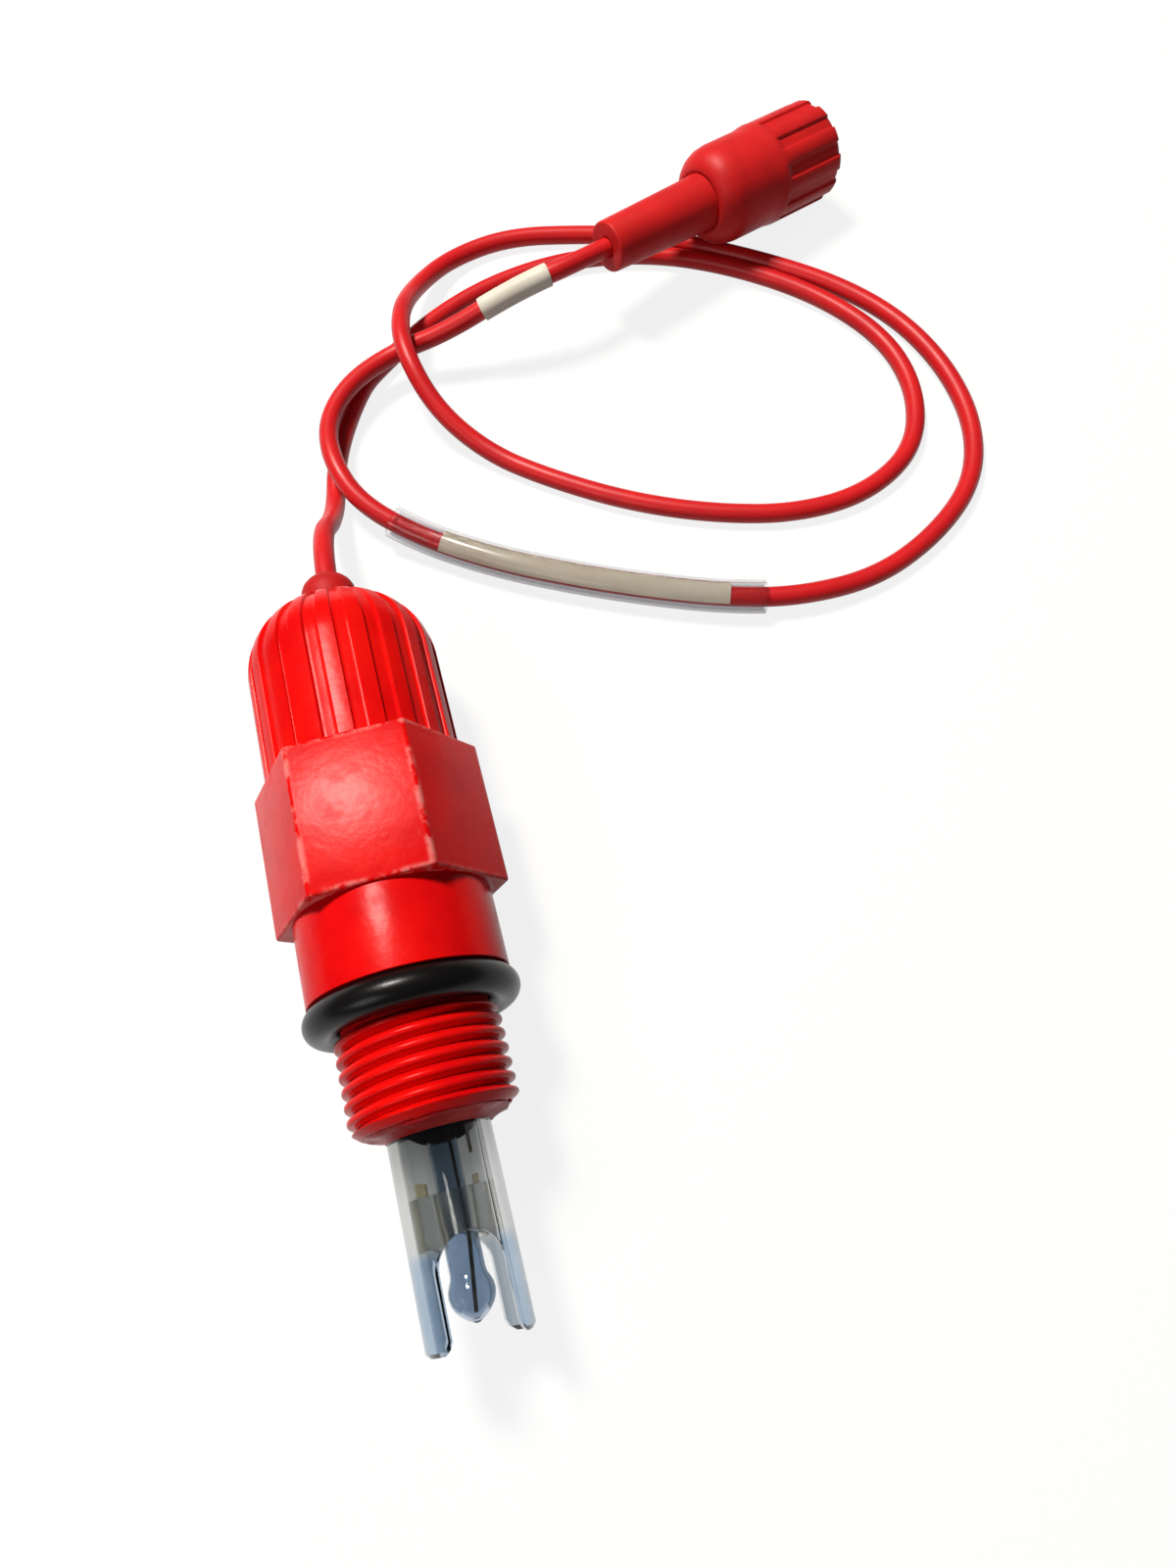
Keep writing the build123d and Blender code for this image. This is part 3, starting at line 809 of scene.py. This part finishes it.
makeShaft()
makeHolder()
makeBulb()
for node, finish in {
        "measuring_wire": "wire", "reference_wire": "wire", "junction_rod_left": "cream",
        "junction_rod_right": "cream", "tube_stopper": "rubber", "core_lead": "white", "screen_lead": "rubber",
        "cable_clamp": "nickel", "lead_tail": "cable", "plug_cable_end": "cable", "plug_core": "white",
        "crimp_ferrule": "nickel", "plug_body": "nickel", "dielectric": "white", "centre_pin": "brass",
        "contact_sleeve": "nickel", "face_gasket": "rubber", "wave_washer": "nickel", "thrust_washer": "nickel",
        "rear_retainer": "nickel", "bayonet_ring": "nickel"}.items():
    dress(node, finish)
print("shaft and bulb made")

# plug: boot and ribbed coupling shell
boot = {"rear": 4.17, "front": 4.68, "length": 22.5, "bore": 1.62, "pocket": 3.15, "pocketStart": 8.0,
        "edge": 0.35}
shell = {"rear": 21.6, "front": 49.2, "smooth": 8.2, "grip": 8.52, "gripStart": 34.4, "ribs": 11,
         "ribTurn": 0.0, "grooveDepth": 0.5, "bore": 7.25}


def makeBoot():
    front = boot["length"]
    obj = spun("plugBoot", [(boot["bore"], 0), (boot["rear"], 0), (boot["front"], front - 2.2),
                            (boot["front"] + 0.1, front - 1.2), (boot["front"] + 0.13, front),
                            (boot["pocket"], front), (boot["pocket"], boot["pocketStart"]),
                            (boot["bore"], boot["pocketStart"])], 96)
    softEdges(obj, boot["edge"], 4, 50)
    return settle(obj, plugPlace, finishes["coral"], rootBody, ["plug_boot"])


def makeShell():
    # the grip's grooves start with a rounded end ahead of the step and run out at the front
    period = 360 / shell["ribs"]
    half = period / 4
    columns = [(-half, 0.15), (-half + 0.8, 0.0), (0, 0), (half - 0.8, 0.0), (half, 0.15), (half + 0.7, 0.85),
               (half + 1.5, 1.0), (period / 2 - 3, 1.0), (period / 2, 1.0), (period / 2 + 3, 1.0),
               (period - half - 1.5, 1.0), (period - half - 0.7, 0.85)]
    rear, front, grip = shell["rear"], shell["front"], shell["gripStart"]
    outline = [(4.85, rear + 0.2, 0), (5.1, rear, 0), (5.5, rear, 0), (6.2, rear + 0.3, 0), (7.0, rear + 1.0, 0),
               (7.6, rear + 1.9, 0), (8.0, rear + 3.0, 0), (shell["smooth"], rear + 4.6, 0), (8.22, grip - 1.4, 0),
               (8.28, grip - 0.6, 0), (8.42, grip + 0.2, 0), (shell["grip"], grip + 1.0, 0)]
    outline += [(shell["grip"], grip + 1.2 + step * 0.4, min(1.0, step / 3)) for step in range(5)]
    outline += [(shell["grip"], grip + 3.6, 1), (shell["grip"], 42.0, 1), (shell["grip"], front - 1.6, 1),
                (shell["grip"], front - 1.0, 1), (shell["grip"] - 0.12, front - 0.5, 1),
                (shell["grip"] - 0.45, front - 0.12, 0.8), (shell["grip"] - 0.85, front, 0.3),
                (shell["bore"] + 0.15, front, 0), (shell["bore"], front - 0.15, 0), (shell["bore"], 28.8, 0),
                (6.3, 28.8, 0), (6.3, 24.6, 0), (4.85, 23.6, 0)]
    rows = [(r, u, -1.0, 0.0, grooved) for r, u, grooved in outline]
    obj = fluted("couplingShell", rows, columns, shell["ribs"], shell["ribTurn"], shell["grooveDepth"])
    return settle(obj, plugPlace, finishes["coral"], turningBody, ["coupling_shell"], 40)


plugPieces = [makeBoot(), makeShell()]
print("plug made")

(leadPieces + plugPieces + [
            "plug_cable_end", "plug_core", "crimp_ferrule", "plug_body", "dielectric", "centre_pin",
            "contact_sleeve", "face_gasket", "wave_washer", "thrust_washer", "rear_retainer", "bayonet_ring"])


# bench, light and background
room = {"benchSize": 6.0, "worldColour": (0.95, 0.97, 1.0, 1.0), "worldStrength": 0.09,
        "benchDark": (0.20, 0.21, 0.23, 1.0), "benchPale": (0.85, 0.85, 0.85, 1.0), "benchGlow": 0.85,
        "lampTarget": (0.02, 0.03, 0.0)}


def floorFinish():
    # white to the camera and in glass and metal; the bounce onto the piece is that of a dark bench
    f = Finish("benchWhite")
    paths = f.tree.nodes.new("ShaderNodeLightPath")
    seen = Wire(f, paths.outputs["Is Camera Ray"])
    for name in ("Is Glossy Ray", "Is Transmission Ray"):
        seen = seen.biggest(Wire(f, paths.outputs[name]))
    dark = f.node("ShaderNodeBsdfDiffuse", {}, {"Color": room["benchDark"]})
    pale = f.node("ShaderNodeBsdfDiffuse", {}, {"Color": room["benchPale"]})
    plain = f.node("ShaderNodeEmission", {}, {"Color": rgb(1, 1, 1), "Strength": 1.0})
    white = f.node("ShaderNodeMixShader", {}, {0: room["benchGlow"], 1: pale, 2: plain})
    mixed = f.node("ShaderNodeMixShader", {}, {0: seen, 1: dark, 2: white})
    out = f.tree.nodes.new("ShaderNodeOutputMaterial")
    f.tree.links.new(mixed.socket, out.inputs["Surface"])
    return f.material


def makeStage():
    bpy.ops.mesh.primitive_plane_add(size=room["benchSize"], location=(0, 0, -0.00005))
    floor = bpy.context.active_object
    floor.name = "bench"
    floor.data.materials.append(floorFinish())
    world = bpy.data.worlds.new("room")
    scene.world = world
    world.use_nodes = True
    world.node_tree.nodes["Background"].inputs["Color"].default_value = room["worldColour"]
    world.node_tree.nodes["Background"].inputs["Strength"].default_value = room["worldStrength"]


lamps = {"overhead": {"place": (-0.14, 0.40, 0.75), "size": (0.16, 0.16), "power": 9.6,
                      "colour": (1.0, 0.95, 0.88)},
         "front": {"place": (-0.40, -0.35, 0.45), "size": (0.3, 0.25), "power": 1.0, "colour": (1, 1, 1)}}


def areaLight(name, place, size, power, colour):
    data = bpy.data.lights.new(name, "AREA")
    data.shape = "RECTANGLE"
    data.size, data.size_y = size
    data.energy = power
    data.color = colour
    obj = bpy.data.objects.new(name, data)
    obj.location = place
    obj.rotation_euler = (Vector(room["lampTarget"]) - Vector(place)).to_track_quat("-Z", "Y").to_euler()
    scene.collection.objects.link(obj)


makeStage()
for name, lamp in lamps.items():
    areaLight(name, **lamp)
scene.view_settings.view_transform = "Standard"

print("finished")
